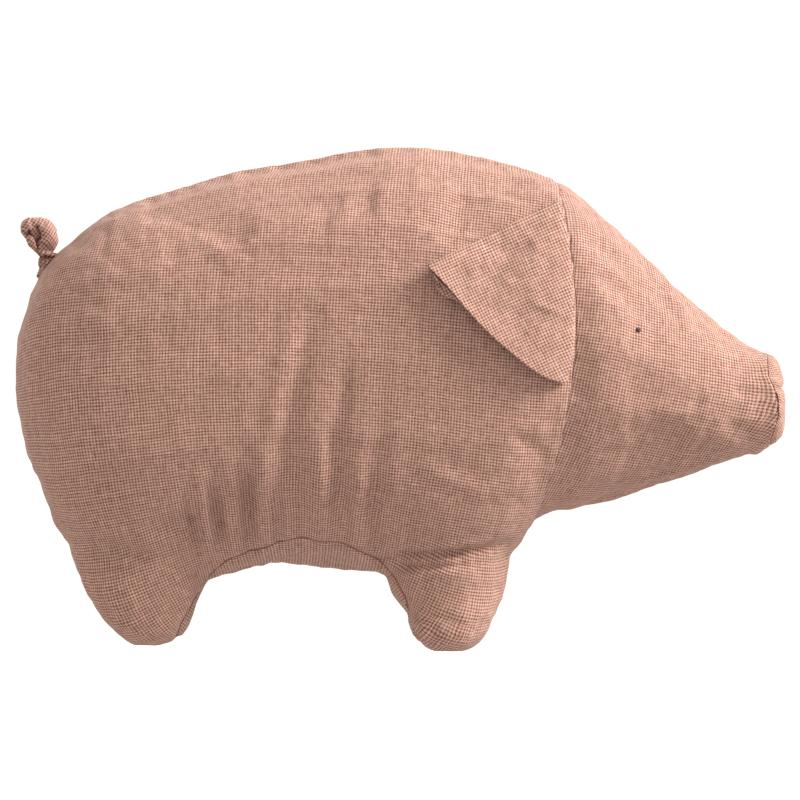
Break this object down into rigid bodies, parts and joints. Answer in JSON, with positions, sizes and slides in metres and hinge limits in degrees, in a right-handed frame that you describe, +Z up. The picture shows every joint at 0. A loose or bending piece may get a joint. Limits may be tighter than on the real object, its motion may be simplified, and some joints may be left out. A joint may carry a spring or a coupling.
{
  "type": "plush pig",
  "caption": "Stuffed cloth pig with a long tapering snout, broad stump legs, flat triangular ears and a short knotted tail.",
  "frame": {"origin": "on the floor under the middle of the toy's bounding box", "axes": "+X from the rump to the snout, +Y to the pig's left, +Z up"},
  "size_m": [0.4999, 0.1564, 0.3281],
  "materials": {
    "check_cloth": "fine two-colour woven check, matt",
    "soft_fibre": "loose soft fibre",
    "brown_thread": "embroidery thread"
  },
  "bodies": {
    "pig": {"right_body_panel": "check_cloth", "left_body_panel": "check_cloth", "right_head_panel": "check_cloth", "left_head_panel": "check_cloth", "belly_gusset": "check_cloth", "rear_leg_cover": "check_cloth", "front_leg_cover": "check_cloth", "snout": "check_cloth", "body_filling": "soft_fibre", "head_filling": "soft_fibre", "rear_leg_filling": "soft_fibre", "front_leg_filling": "soft_fibre", "right_eye": "brown_thread", "left_eye": "brown_thread"},
    "right_ear": {"right_ear_outer": "check_cloth", "right_ear_lining": "check_cloth"},
    "left_ear": {"left_ear_outer": "check_cloth", "left_ear_lining": "check_cloth"},
    "tail": {"tail": "check_cloth"}
  },
  "joints": [
    {"name": "right_ear_hinge", "type": "hinge", "parent": "pig", "child": "right_ear", "pos_m": [0.1075, -0.06582, 0.23321], "axis": [-0.0498, 0.2201, 0.9742], "range_deg": [0, 140]},
    {"name": "left_ear_hinge", "type": "hinge", "parent": "pig", "child": "left_ear", "pos_m": [0.1075, 0.06582, 0.23321], "axis": [0.0498, 0.2201, -0.9742], "range_deg": [0, 140]},
    {"name": "tail_hinge", "type": "hinge", "parent": "pig", "child": "tail", "pos_m": [-0.23543, 0, 0.24555], "axis": [0, -1, 0], "range_deg": [0, 70]}
  ]
}
